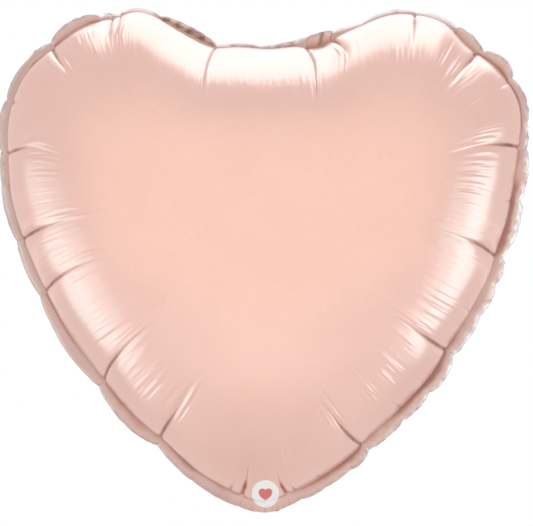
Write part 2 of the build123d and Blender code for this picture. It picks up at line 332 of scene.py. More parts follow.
def noise_ring(scale_mm, seed):
    r = np.random.default_rng(seed)
    n = max(8, int(PERIM / scale_mm))
    v = r.normal(size=n)
    x = (np.arange(n) + 0.5) * PERIM / n
    xp = np.concatenate([x - PERIM, x, x + PERIM])
    vp = np.concatenate([v, v, v])
    a = col_arc
    k = np.searchsorted(xp, a) - 1
    t = (a - xp[k]) / (xp[k + 1] - xp[k])
    p0, p1, p2, p3 = vp[k - 1], vp[k], vp[k + 1], vp[k + 2]
    return 0.5 * ((2 * p1) + (-p0 + p2) * t + (2 * p0 - 5 * p1 + 4 * p2 - p3) * t ** 2
                  + (-p0 + 3 * p1 - 3 * p2 + p3) * t ** 3)


# ---------------------------------------------------------------------------
# Rows from the rim to the pole: close together at the rim.
# ---------------------------------------------------------------------------
mean_r = TABLE.mean(1)
prof = np.concatenate([[0], np.cumsum(np.hypot(np.diff(mean_r), np.diff(DOME * np.sin(STEPS))))])
t = np.linspace(0, 1, ROWS)
row_len = prof[-1] * (0.30 * t + 0.70 * t ** 1.7)
row_a = np.interp(row_len, prof, STEPS)
row_a[0] = 0.0


def radius_at(a, d):
    """Radius at profile step a and direction d (degrees), same shapes."""
    fa = np.clip(a / (math.pi / 2) * 180, 0, 179.999)
    fd = (d + 180) % 360 / 0.5
    i, j = fa.astype(int), np.clip(fd.astype(int), 0, 719)
    u, v = fa - i, fd - j
    T = TABLE
    return ((1 - u) * ((1 - v) * T[i, j] + v * T[i, j + 1])
            + u * ((1 - v) * T[i + 1, j] + v * T[i + 1, j + 1]))


def lines_in():
    """Direction of every column at every row: lines that leave the rim square
    and stay square to the contour lines on their way to the pole."""
    out = np.zeros((ROWS, N_U))
    d = col_dir.copy()
    out[0] = d
    for r in range(1, ROWS):
        sub = 4
        da = (row_a[r] - row_a[r - 1]) / sub
        for s in range(sub):
            a = np.full(N_U, row_a[r - 1] + (s + 0.5) * da)
            h = 0.004
            R = radius_at(a, d)
            Ra = (radius_at(np.minimum(a + h, math.pi / 2), d) - radius_at(np.maximum(a - h, 0), d)) / (
                np.minimum(a + h, math.pi / 2) - np.maximum(a - h, 0))
            Rd = (radius_at(a, d + 0.6) - radius_at(a, d - 0.6)) / math.radians(1.2)
            d = d + np.degrees(-Ra * Rd / (R * R + Rd * Rd + 1.0)) * da
        out[r] = d
    return out


COL = lines_in()
A2 = np.repeat(row_a[:, None], N_U, 1)

# lead each crease's column along the crease that was measured
for (xr, zr, xe, ze, *_), k in zip(CREASES, crease_col):
    de = math.degrees(math.atan2(xe, ze - POLE_Z))
    re = math.hypot(xe, ze - POLE_Z)
    a_end = np.interp(-re, -radius_at(STEPS[:180], np.full(180, de)), STEPS[:180])
    have = np.interp(a_end, row_a, COL[:, k])
    need = (de - have + 180) % 360 - 180
    need = max(-7.0, min(7.0, need))
    w = np.where(row_a < a_end, row_a / max(a_end, 1e-3), 1) * (1 - smooth((row_a - a_end) / 0.45))
    dd = (col_arc - col_arc[k] + PERIM / 2) % PERIM - PERIM / 2
    COL = COL + need * w[:, None] * np.exp(-(dd / 34.0) ** 2)[None, :]

R2 = radius_at(A2, COL)
# move the rim out or in to the seam that was measured, fading inwards
rim_shift = (around(BORDER, (col_dir + 180) % 360 - 180) + seam_off) - radius_at(np.zeros(N_U), col_dir)
R2 = R2 + rim_shift[None, :] * np.cos(A2) ** 3
BX = R2 * np.sin(np.radians(COL))
BZ = R2 * np.cos(np.radians(COL)) + POLE_Z
BY = DOME * np.sin(A2)                                   # height above the seam


def ring_cum():
    sg = np.hypot(np.roll(BX, -1, 1) - BX, np.roll(BZ, -1, 1) - BZ)
    c = np.concatenate([np.zeros((ROWS, 1)), np.cumsum(sg, 1)], 1)
    return c[:, :-1], c[:, -1:]


RC, RT = ring_cum()
# distance in from the rim, along the column, on the surface and seen from the front
stepx, stepz, stepy = np.diff(BX, axis=0), np.diff(BZ, axis=0), np.diff(BY, axis=0)
IN3 = np.concatenate([np.zeros((1, N_U)), np.cumsum(np.sqrt(stepx ** 2 + stepz ** 2 + stepy ** 2), 0)])
INF = np.concatenate([np.zeros((1, N_U)), np.cumsum(np.hypot(stepx, stepz), 0)])

# normals of the smooth surface (front side, y negative)
def grid_normals(X, Y, Z):
    P = np.stack([X, Y, Z], 2)
    du = np.roll(P, -1, 1) - np.roll(P, 1, 1)
    dv = np.gradient(P, axis=0)
    n = np.cross(du, dv)
    n /= np.linalg.norm(n, axis=2, keepdims=True) + 1e-12
    return n


NRM = grid_normals(BX, -BY, BZ)
# they must point out of the balloon
flip = np.sign(np.mean(NRM[ROWS // 2:, :, 1]))
NRM = NRM * (-flip)
RIM_OUT = NRM[0].copy()
RIM_OUT[:, 1] = 0
RIM_OUT /= np.linalg.norm(RIM_OUT, axis=1, keepdims=True)


def delta(k):
    return (RC - RC[:, k:k + 1] + RT / 2) % RT - RT / 2


crease_arc_now = [col_arc[k] for k in crease_col]


def relief(side):
    """How far the film stands off the smooth dome, along its normal, in mm."""
    r = np.random.default_rng(90 + side)
    D = np.zeros((ROWS, N_U))
    for i, ((xr, zr, xe, ze, deep, wide, swell, push), k) in enumerate(zip(CREASES, crease_col)):
        length = math.hypot(xe - xr, ze - zr) * 1.12
        if side:
            length *= r.uniform(0.8, 1.25)
            deep *= r.uniform(0.8, 1.1)
        f = INF / length
        d = delta(k)
        fall = np.clip(1 - f, 0, 1)
        narrow = wide * (0.42 + 0.58 * fall)
        narrow = np.minimum(narrow, 1.7 + INF / 9.0)
        D -= deep * (0.50 + 0.50 * smooth(INF / 12.0)) * fall ** 1.7 * np.exp(-np.abs(d) / narrow)
        D -= (0.8 * swell * np.exp(-np.abs(d) / 26.0) * np.clip(1 - INF / (length * 1.3 + 30), 0, 1) ** 1.5
              * (0.25 + 0.75 * smooth(INF / 16.0)))
        # ridges that run beside the crease
        for s in range(int(3 + length / 22)):
            off = r.normal() * 13.0
            start, stop = r.uniform(0.12, 0.5) * length, r.uniform(0.8, 1.45) * length
            amp = r.uniform(0.25, 0.8) * min(1.0, deep / 8.0) * (1 if r.random() < 0.6 else -1)
            w = r.uniform(1.6, 3.0)
            g = np.clip((INF - start) / (stop - start), 0, 1)
            D += amp * np.sin(np.pi * g) ** 1.3 * np.exp(-((d - off * (1 - 0.35 * g)) / w) ** 2)
    return D


def crease_shade_lines(side):
    """Painted shade along the creases: a thin dark line, and a wider dark leaf towards the rim."""
    F = np.zeros((ROWS, N_U))
    for (xr, zr, xe, ze, deep, wide, swell, push), k in zip(CREASES, crease_col):
        length = math.hypot(xe - xr, ze - zr) * 1.0
        fall = np.clip(1 - INF / length, 0, 1)
        thin = SHADE_LINES.get((xr, zr), 0.35)
        leaf = 0.7 + 2.3 * np.clip(np.sin(np.pi * np.clip(INF / (0.55 * length), 0, 1)), 0, 1)
        F = np.maximum(F, min(1.0, deep / 8.0) * smooth(fall * 1.5 - 0.35) * np.exp(-(delta(k) / leaf) ** 2))
        F = np.maximum(F, thin * smooth(fall * 4.0) * np.exp(-(delta(k) / 0.85) ** 2))
    return F


# painted shade along the creases, passed to the foil colour through the fold attribute
CREASE_SHADE = [crease_shade_lines(0), crease_shade_lines(1)]


def streaks(side):
    """Fine tension lines square to the rim, alone and in groups."""
    r = np.random.default_rng(300 + side)
    D = np.zeros((ROWS, N_U))
    lines = []
    for _ in range(120):
        start = r.uniform(5, 55)
        lines.append((r.uniform(0, PERIM), start, start + r.uniform(24, 70), r.uniform(0.06, 0.30), r.uniform(1.5, 3.4)))
    groups = [(crease_arc_now[i] + r.normal() * 16, r.uniform(18, 45)) for i in range(len(CREASES))]
    groups += [(r.uniform(0, PERIM), r.uniform(20, 50)) for _ in range(26)]
    for centre, start in groups:
        n = r.integers(4, 9)
        for j in range(n):
            a = centre + (j - n / 2) * r.uniform(4.5, 7.0) + r.normal() * 1.2
            lines.append((a, start + r.normal() * 7, start + r.uniform(34, 78), r.uniform(0.12, 0.36), r.uniform(1.3, 2.0)))
    a = 0.0
    while a < PERIM:
        a += r.uniform(4.5, 9.5)
        start = r.uniform(24, 52)
        lines.append((a, start, start + r.uniform(36, 66), r.uniform(0.08, 0.36) * r.uniform(0.4, 1.0), r.uniform(1.3, 2.1)))
    for gx, gz, n, gap, long, high, thin in GROUPS:
        if side:
            gx = -gx * r.uniform(0.9, 1.05)
        at = np.unravel_index(np.argmin((BX - gx) ** 2 + (BZ - gz) ** 2 + 1e6 * (INF < 2)), BX.shape)
        ring = (RC[at[0]] - RC[at[0], at[1]] + RT[at[0], 0] / 2) % RT[at[0], 0] - RT[at[0], 0] / 2
        for j in range(n):
            k = int(np.argmin(np.abs(ring - (j - (n - 1) / 2) * gap * r.uniform(0.9, 1.1))))
            mid = INF[at[0], k] + r.normal() * long * 0.10
            ln = long * r.uniform(0.75, 1.25)
            lines.append((col_arc[k], mid - ln / 2, mid + ln / 2, high * r.uniform(0.5, 1.15), thin * r.uniform(0.85, 1.2),
                          thin < 1.45))
    for a, start, stop, amp, w, *flat in lines:
        start = max(start, 2.0)
        amp *= 1 if r.random() < 0.6 else -0.8
        k = int(np.searchsorted(col_arc, a % PERIM)) % N_U
        cols = (np.arange(-30, 31) + k) % N_U
        d = (RC[:, cols] - RC[:, k:k + 1] + RT / 2) % RT - RT / 2
        g = np.clip((INF[:, cols] - start) / (stop - start), 0, 1)
        shape = smooth(np.minimum(g, 1 - g) * 3.6) if flat and flat[0] else np.sin(np.pi * g) ** 0.75
        D[:, cols] += amp * shape * (np.exp(-(d / w) ** 2) - 0.3 * np.exp(-(d / (2.2 * w)) ** 2))
    return D


def broad(side):
    """Gentle unevenness of the film, strongest towards the rim."""
    D = np.zeros((ROWS, N_U))
    for scale, amp, depth, seed in ((95, 0.9, 120, 11), (46, 0.55, 80, 12), (22, 0.28, 55, 13), (11, 0.12, 40, 14)):
        D += amp * noise_ring(scale, seed + 40 * side)[None, :] * np.exp(-INF / depth) * smooth(INF / 6.0 + 0.15)
    return D


# seam: pushed forward and back between creases
seam_y = ring_blur(noise_ring(70, 5) * 2.4 + noise_ring(30, 6) * 1.0, 5)
for (xr, zr, xe, ze, deep, wide, swell, push), k in zip(CREASES, crease_col):
    d = (col_arc - col_arc[k] + PERIM / 2) % PERIM - PERIM / 2
    seam_y += push * np.exp(-(d / 14.0) ** 2)
tip = np.exp(-((BX[0] / 30.0) ** 2)) * (BZ[0] < 200)      # the unsealed neck
seam_y *= 1 - 0.85 * tip

ply = 0.16
BORDER_T = [1.0, 0.965, 0.92, 0.86, 0.77, 0.65, 0.51, 0.36, 0.21, 0.09]
K_BORDER = len(BORDER_T)
edge_ruffle = noise_ring(17, 21) * 1.1 + noise_ring(7.5, 22) * 0.6
frill = noise_ring(5.0, 24) * 0.55 + noise_ring(3.2, 25) * 0.3
lip = noise_ring(34, 26)
curl_run = noise_ring(60, 23)
# stretches where the border is folded over and seen edge-on; there it gets painted shade
_d = (col_dir + 180) % 360 - 180
edge_on_shade_mask_run = np.zeros(N_U)
for lo, hi, v in ((-26.2, -13.6, 1.0), (-10.5, -2.0, 0.75), (-1.0, 9.5, 0.75), (14.6, 16.6, 0.9), (28.6, 30.6, 0.8)):
    edge_on_shade_mask_run = np.maximum(edge_on_shade_mask_run, v * smooth((_d - lo) / 1.2) * smooth((hi - _d) / 1.2))
# painted highlight: how pale the outer part of the border is painted, by direction
pale_highlight_run = np.interp((col_dir + 180) % 360 - 180,
                     [-180, -165, -140, -120, -88, -75, -45, -30, 0, 30, 50, 58, 75, 100, 135, 165, 180],
                     [0.1, 0.1, 0.1, 0.0, 0.1, 0.35, 0.4, 0.3, 0.3, 0.5, 0.30, 0.55, 1.0, 1.0, 0.7, 0.25, 0.1])
pale_highlight_run = np.maximum(pale_highlight_run, smooth((_d + 39.0) / 3.0) * smooth((-29.5 - _d) / 2.0))
calm = 0.30 + 0.70 * pale_highlight_run
wrinkle = noise_ring(3.4, 28) * 0.7 + noise_ring(8.0, 29) * 0.5
peep = np.clip(0.5 + 1.1 * noise_ring(48, 27), 0.0, 1.7)


def film_grid(side):
    """Positions (rows, columns, 3) of one panel, border first, in mm."""
    sg = -1.0 if side == 0 else 1.0
    D = relief(side) + streaks(side) + broad(side)
    N = NRM.copy()
    if side:
        N[:, :, 1] *= -1
    X = BX + N[:, :, 0] * D
    Z = BZ + N[:, :, 2] * D
    Y = sg * BY + N[:, :, 1] * D
    # both panels share the seam
    D0 = relief(0)[0] + broad(0)[0] * 0.0
    fade = np.exp(-(INF / 5.0) ** 2)
    sx, sz = BX[0] + NRM[0, :, 0] * D0, BZ[0] + NRM[0, :, 2] * D0
    X = X + (sx - X[0])[None, :] * fade
    Z = Z + (sz - Z[0])[None, :] * fade
    yfade = np.exp(-IN3 / 30.0)
    Y = Y - Y[0][None, :] * fade
    Y = Y + seam_y[None, :] * yfade + sg * ply
    # the neck is not sealed: there the film runs on round the nose
    nose = 9.0 * tip[None, :] * np.exp(-(IN3 / 22.0) ** 2)
    Y = Y + sg * nose
    gather = (1.1 * np.sin(X[0] / 1.35 + 0.6) + 1.1 * np.sin(X[0] / 2.6 + 2.1) + 0.9 * noise_ring(3.5, 31 + side))
    gather *= tip * np.clip(1 - (X[0] / 34.0) ** 2, 0, 1)
    Y = Y + sg * gather[None, :] * np.exp(-(IN3 / 26.0) ** 2)
    X0, Y0, Z0 = X[0].copy(), Y[0].copy(), Z[0].copy()
    # border: from the seam out to the measured edge
    ex = (around(BORDER, col_dir) + edge_off) * np.sin(np.radians(col_dir))
    ez = (around(BORDER, col_dir) + edge_off) * np.cos(np.radians(col_dir)) + POLE_Z
    rows = []
    for j, t in enumerate(BORDER_T):
        out = frill * max(0.0, t - 0.72) / 0.28 * (1 - tip) * (0.2 + 0.8 * pale_highlight_run)
        if side:
            out = out + peep * float(smooth((t - 0.5) / 0.5)) * (1 - tip)
        x = X0 + (ex - X0) * t + out * np.sin(np.radians(col_dir))
        z = Z0 + (ez - Z0) * t + out * np.cos(np.radians(col_dir))
        bow = (0.9 + 0.8 * curl_run * calm) * math.sin(math.pi * t)
        lean = np.where(edge_lean < 0, 0.45 * edge_lean, edge_lean)
        y = seam_y + (lean + edge_ruffle * 1.2 * calm) * t ** 1.3 - bow + sg * ply
        y = y + (1.6 + 1.2 * lip * calm) * float(smooth((t - 0.78) / 0.22))
        # at the neck the border becomes the film itself, going down to the fold
        yn = sg * (ply + 9.0 * (1 - t) ** 0.6 * math.cos(0.5 * math.pi * t) ** 0.5)
        y = y * (1 - tip) + (yn + sg * gather * 0.8 * (1 - t)) * tip
        if j == 0:
            y = y - sg * ply * 0.8
        rows.append(np.stack([x, y, z], 1))
    body = np.stack([X, Y, Z], 2)
    return np.concatenate([np.array(rows), body], 0)


def ring_mesh(name, G, side):
    """Quads between rings; the number of columns halves as the rings shrink."""
    G = G[:-2]
    nr = G.shape[0]
    rings, idx, verts = [], [], []
    stepc = 1
    for r in range(nr):
        P = G[r][::stepc]
        L = np.linalg.norm(np.roll(P, -1, 0) - P, axis=1).sum()
        deep = INF[max(r - K_BORDER, 0)].mean()
        want = 1 if deep < 105 else 2 if deep < 165 else 4
        if stepc < want or L / len(P) < 0.9 and len(P) > 100:
            stepc *= 2
            P = G[r][::stepc]
        rings.append(P)
    last = rings[-1]
    base = 0
    for P in rings:
        idx.append(np.arange(base, base + len(P)))
        base += len(P)
    verts = np.concatenate(rings, 0)
    pole = verts[idx[-1]].mean(0)
    verts = np.vstack([verts, pole])
    faces = []
    for r in range(nr - 1):
        a, b = idx[r], idx[r + 1]
        if len(a) == len(b):
            a1, b1 = np.roll(a, -1), np.roll(b, -1)
            faces += np.stack([a, a1, b1, b], 1).tolist()
        else:
            n = len(b)
            for q in range(n):
                faces.append([int(a[2 * q]), int(a[2 * q + 1]), int(a[(2 * q + 2) % len(a)]),
                              int(b[(q + 1) % n]), int(b[q])])
    a = idx[-1]
    for q in range(len(a)):
        faces.append([int(a[q]), int(a[(q + 1) % len(a)]), len(verts) - 1])
    if side:
        faces = [f[::-1] for f in faces]
    me = bpy.data.meshes.new(name)
    me.from_pydata((verts * MM).tolist(), [], faces)
    me.validate()
    me.polygons.foreach_set("use_smooth", [True] * len(me.polygons))
    ob = bpy.data.objects.new(name, me)
    scene.collection.objects.link(ob)
    # film coordinates for the materials: along the rim, in from the rim, border
    along = np.zeros(len(verts)); inward = np.zeros(len(verts)); border = np.zeros(len(verts))
    sc = 1
    p = 0
    for r, P in enumerate(rings):
        s = N_U // len(P)
        n = len(P)
        along[p:p + n] = col_arc[::s]
        inward[p:p + n] = -14.0 * BORDER_T[r] if r < K_BORDER else INF[r - K_BORDER][::s]
        border[p:p + n] = 1.0 if r < K_BORDER else 0.0
        if r == K_BORDER:
            border[p:p + n] = 0.5
        p += n
    inward[-1] = INF[-1].mean()
    rim = np.zeros(len(verts)); fold = np.zeros(len(verts)); light = np.zeros(len(verts))
    edge_on_shade_mask = np.zeros(len(verts)); crumple = np.zeros(len(verts)); p = 0
    FG = CREASE_SHADE[side]
    for r, P in enumerate(rings):
        s = N_U // len(P)
        n = len(P)
        rim[p:p + n] = BORDER_T[r] if r < K_BORDER else 0.0
        light[p:p + n] = pale_highlight_run[::s]
        crumple[p:p + n] = wrinkle[::s]
        # painted shade: the crease lines, then the seam valley, darker just inside the weld line and more softly over
        # the border itself
        fold[p:p + n] = FG[max(r - K_BORDER, 0)][::s]
        near = np.abs(BORDER_T[r] * edge_wid[::s] if r < K_BORDER else INF[r - K_BORDER][::s])
        seam_valley_shade = np.exp(-(near / 2.2) ** 2) * 0.80
        if r < K_BORDER:
            seam_valley_shade = np.maximum(seam_valley_shade, np.exp(-(near / 6.5) ** 2) * 0.40)
        fold[p:p + n] = np.maximum(fold[p:p + n], seam_valley_shade)
        # painted shade mask: where the folded-over border is seen edge-on
        if r < K_BORDER and BORDER_T[r] > 0.15:
            edge_on_shade_mask[p:p + n] = edge_on_shade_mask_run[::s]
        p += n
    tipf = np.exp(-(verts[:, 0] / 30.0) ** 2) * (verts[:, 2] < 60)
    rim *= 1 - tipf
    fold *= 1 - tipf
    # painted shade: the crumpled film along the closed neck is painted darker, in noisy patches
    fold += 0.55 * tipf * np.clip(0.55 + crumple, 0, 1) * np.clip((17.0 - verts[:, 2]) / 12.0, 0, 1)
    border *= 1 - tipf
    for nm, val in (("along", along), ("inward", inward), ("border", border),
                    ("rim", rim), ("fold", fold), ("pale", light), ("edge_on_shade_mask", edge_on_shade_mask)):
        at = me.attributes.new(nm, "FLOAT", "POINT")
        at.data.foreach_set("value", val.astype(np.float32))
    # the weld line is a sharp fold, except across the neck
    ring = idx[K_BORDER]
    sharp_pairs = set()
    for q in range(len(ring)):
        if abs(verts[ring[q], 0]) > 36 or verts[ring[q], 2] > 120:
            sharp_pairs.add((min(ring[q], ring[(q + 1) % len(ring)]), max(ring[q], ring[(q + 1) % len(ring)])))
    sh = np.zeros(len(me.edges), bool)
    ev = np.zeros(len(me.edges) * 2, int)
    me.edges.foreach_get("vertices", ev)
    ev = ev.reshape(-1, 2)
    key = ev.min(1).astype(np.int64) * (len(verts) + 1) + ev.max(1)
    want = np.array([a * (len(verts) + 1) + b for a, b in sharp_pairs], dtype=np.int64)
    sh = np.isin(key, want)
    at = me.attributes.new("sharp_edge", "BOOLEAN", "EDGE")
    at.data.foreach_set("value", sh)
    me.update()
    return ob


front_film = ring_mesh("front_foil_panel", film_grid(0), 0)
back_film = ring_mesh("back_foil_panel", film_grid(1), 1)


def add_object(name, verts_mm, faces, smooth=True):
    me = bpy.data.meshes.new(name)
    me.from_pydata((np.asarray(verts_mm) * MM).tolist(), [], faces)
    me.validate()
    if smooth:
        me.polygons.foreach_set("use_smooth", [True] * len(me.polygons))
    me.update()
    ob = bpy.data.objects.new(name, me)
    scene.collection.objects.link(ob)
    return ob


def thicken(ob, mm, offset=-1.0):
    m = ob.modifiers.new("ply", "SOLIDIFY")
    m.thickness = mm * MM
    m.offset = offset
    m.use_rim = True
    return ob


# ---------------------------------------------------------------------------
# Printed mark: a thin round patch that lies on the front film.
# ---------------------------------------------------------------------------
MARK_C = (2.0, 25.6)
MARK_R = 19.4
tree = BVHTree.FromPolygons([v.co for v in front_film.data.vertices],
                            [tuple(p.vertices) for p in front_film.data.polygons])
pts, faces = [], []
n_ring, n_seg = 30, 120
for r in range(n_ring + 1):
    rad = MARK_R * r / n_ring
    for k in range(n_seg if r else 1):
        a = 2 * math.pi * k / n_seg
        x, z = MARK_C[0] + rad * math.cos(a), MARK_C[1] + rad * math.sin(a)
        aim = Vector((x * MM, 0.0, z * MM)) - cam.location
        hit = tree.ray_cast(cam.location + aim * 0.85, aim.normalized())
        lift = 0.22 if r < n_ring else 0.10
        q = hit[0] / MM + hit[1] * (lift if hit[1].y < 0 else -lift)
        pts.append((q.x, q.y, q.z))
for k in range(n_seg):
    faces.append((0, 1 + k, 1 + (k + 1) % n_seg))
for r in range(1, n_ring):
    a, b = 1 + (r - 1) * n_seg, 1 + r * n_seg
    for k in range(n_seg):
        faces.append((a + k, b + k, b + (k + 1) % n_seg, a + (k + 1) % n_seg))
mark = thicken(add_object("printed_mark_disc", pts, faces), 0.12)

# ---------------------------------------------------------------------------
# Fill tail, folded up behind the envelope.
# ---------------------------------------------------------------------------
D_T = np.array([0, math.sin(math.radians(61)), math.cos(math.radians(61))])
N_T = np.array([0, math.cos(math.radians(61)), -math.sin(math.radians(61))])
CREASE = np.array([0, 0, -2.0])
STEP_T = 1.5
S_ROWS = 62.0 + STEP_T * np.arange(-41, 17)
U_COLS = STEP_T * np.arange(-20, 21)


def tip_edge(x):
    """Height of the closed edge of the neck at x."""
    sel = np.abs(BX[0]) < 60
    sel &= BZ[0] < 100
    ex = (around(BORDER, col_dir[sel]) + edge_off[sel]) * np.sin(np.radians(col_dir[sel]))
    ez = (around(BORDER, col_dir[sel]) + edge_off[sel]) * np.cos(np.radians(col_dir[sel])) + POLE_Z
    o = np.argsort(ex)
    return np.interp(x, ex[o], ez[o])


def tail_half_width(s):
    w = np.where(s < 26, 17.0 + 13.0 * smooth(s / 26.0), 30.0)
    end = np.clip(s - 77.0, 0, 9.0)
    return np.where(s > 77, 21.0 + np.sqrt(np.maximum(81 - end ** 2, 0)), w)


def wave(u, s):
    """The tail's gentle waves and gathers, off its middle plane."""
    grow = smooth((s - 4) / 26.0)
    w = 1.5 * np.sin(u / 9.5 + 0.7) * grow * np.exp(-s / 120)
    w += 1.1 * np.sin(s / 11.0 + u / 31.0 + 1.1) * grow
    w += 0.75 * np.sin(u / 4.1 + 2.0) * np.exp(-((s - 12) / 15.0) ** 2)
    w += 0.45 * np.sin(u / 2.6 + s / 17.0) * np.exp(-((s - 8) / 10.0) ** 2)
    w += 0.006 * u * u * 0.35 * smooth(s / 60.0)
    return w


def tail_sheet(name, off, s0, s1, half, side, hole=False, welded=False, thick=0.22):
    """A sheet of the tail; off is its distance from the middle plane."""
    rows = [s for s in S_ROWS if s0 - 1e-6 <= s <= s1 + 1e-6]
    if rows[0] > s0:
        rows = [s0] + rows
    if rows[-1] < s1:
        rows = rows + [s1]
    if half >= 29:
        cols = U_COLS
    else:
        cols = np.linspace(-half, half, int(2 * half / STEP_T) + 1)
    P, nr, nc = [], len(rows), len(cols)
    for s in rows:
        for u in cols:
            du, ds = u, s - 62.0
            cheb, rad = max(abs(du), abs(ds)), math.hypot(du, ds)
            uu, ss = u, s
            if hole and 0 < rad and cheb < 15:
                w = float(smooth((15 - cheb) / 9.0)) if cheb > 6 else 1.0
                k = 1 - w + w * cheb / rad
                uu, ss = du * k, 62.0 + ds * k
            if half >= 29:
                hw = float(tail_half_width(np.array(ss)))
                uu = uu * hw / 30.0
            else:
                hw = 30.0
            o = off
            if welded:
                edge = min(hw - abs(uu), 86.0 - ss)
                puff = float(smooth((edge - 5.0) / 5.0))
                o = side * (0.16 + (abs(off) - 0.16) * puff
                            + 1.3 * puff * float(smooth((ss - 4) / 16.0)) * (1 - (uu / 30.0) ** 2))
            o += float(wave(uu, ss))
            p = CREASE + D_T * ss + N_T * o
            # round the fold: the first rows come out of the neck's closed edge
            root = 1 - float(smooth(ss / 9.0))
            p_root = np.array([0.0, 0.5 + side * 0.14, float(tip_edge(np.array([uu]))[0]) + 0.5])
            p = p * (1 - root) + p_root * root
            # the fold itself bulges down a little
            p = p + np.array([0, 0.4, -1.0]) * 0.7 * math.sin(math.pi * min(ss / 12.0, 1.0)) * (1 - (uu / 32.0) ** 2)
            P.append((uu, p[1], p[2]))
    F = []
    for r in range(nr - 1):
        for c in range(nc - 1):
            if hole:
                mu, ms = (cols[c] + cols[c + 1]) / 2, (rows[r] + rows[r + 1]) / 2 - 62.0
                if max(abs(mu), abs(ms)) < 6.0:
                    continue
            q = (r * nc + c, r * nc + c + 1, (r + 1) * nc + c + 1, (r + 1) * nc + c)
            F.append(q if side > 0 else q[::-1])
    used = sorted({i for f in F for i in f})
    back = {i: k for k, i in enumerate(used)}
    ob = add_object(name, [P[i] for i in used], [tuple(back[i] for i in f) for f in F])
    # sheet coordinates for the materials: across, along, distance from the edge
    au, asl, ae = [], [], []
    for i in used:
        s, u = rows[i // nc], cols[i % nc]
        au.append(u); asl.append(s)
        ae.append(min(30.0 - abs(u), 86.0 - s) if welded else 20.0)
    for nm, val in (("along", au), ("inward", asl), ("border", [1.0 if e < 6 else 0.0 for e in ae])):
        at = ob.data.attributes.new(nm, "FLOAT", "POINT")
        at.data.foreach_set("value", np.array(val, np.float32))
    return thicken(ob, thick, 0.0)


tail_outer = tail_sheet("tail_outer_foil_sheet", 1.0, 0.5, 86.0, 30.0, 1, hole=True, welded=True)
tail_inner = tail_sheet("tail_inner_foil_sheet", -1.0, 0.5, 86.0, 30.0, -1, welded=True)
film_outer = tail_sheet("tail_valve_outer_film_sheet", 0.42, 3.0, 54.0, 13.0, 1, thick=0.12)
film_inner = tail_sheet("tail_valve_inner_film_sheet", -0.42, 3.0, 74.0, 13.0, -1, thick=0.12)
coat = tail_sheet("valve_release_coat_patch", 0.0, 8.0, 34.0, 9.0, 1, thick=0.08)

# ---------------------------------------------------------------------------
# Materials
# ---------------------------------------------------------------------------
def new_material(name):
    m = bpy.data.materials.new(name)
    m.use_nodes = True
    nt = m.node_tree
    nt.nodes.clear()
    out = nt.nodes.new("ShaderNodeOutputMaterial")
    bsdf = nt.nodes.new("ShaderNodeBsdfPrincipled")
    nt.links.new(bsdf.outputs["BSDF"], out.inputs["Surface"])
    return m, nt, bsdf


def node(nt, kind, **kw):
    n = nt.nodes.new(kind)
    for k, v in kw.items():
        if k.startswith("in_"):
            n.inputs[k[3:]].default_value = v
        else:
            setattr(n, k, v)
    return n


def math_node(nt, op, a, b=None, c=None, clamp=False):
    n = nt.nodes.new("ShaderNodeMath")
    n.operation = op
    n.use_clamp = clamp
    for i, v in enumerate((a, b, c)):
        if v is None:
            continue
        if hasattr(v, "is_output") or isinstance(v, bpy.types.NodeSocket):
            nt.links.new(v, n.inputs[i])
        else:
            n.inputs[i].default_value = v
    return n.outputs[0]


def attr(nt, name):
    n = nt.nodes.new("ShaderNodeAttribute")
    n.attribute_name = name
    return n.outputs["Fac"]


def ramp(nt, fac, stops):
    n = nt.nodes.new("ShaderNodeValToRGB")
    while len(n.color_ramp.elements) < len(stops):
        n.color_ramp.elements.new(0.5)
    for e, (pos, col) in zip(n.color_ramp.elements, stops):
        e.position = pos
        e.color = (*col, 1.0) if len(col) == 3 else col
    nt.links.new(fac, n.inputs["Fac"])
    return n.outputs["Color"]


def noise(nt, vec, scale, detail=2.0, rough=0.5):
    n = nt.nodes.new("ShaderNodeTexNoise")
    n.inputs["Scale"].default_value = scale
    n.inputs["Detail"].default_value = detail
    n.inputs["Roughness"].default_value = rough
    nt.links.new(vec, n.inputs["Vector"])
    return n.outputs["Fac"]


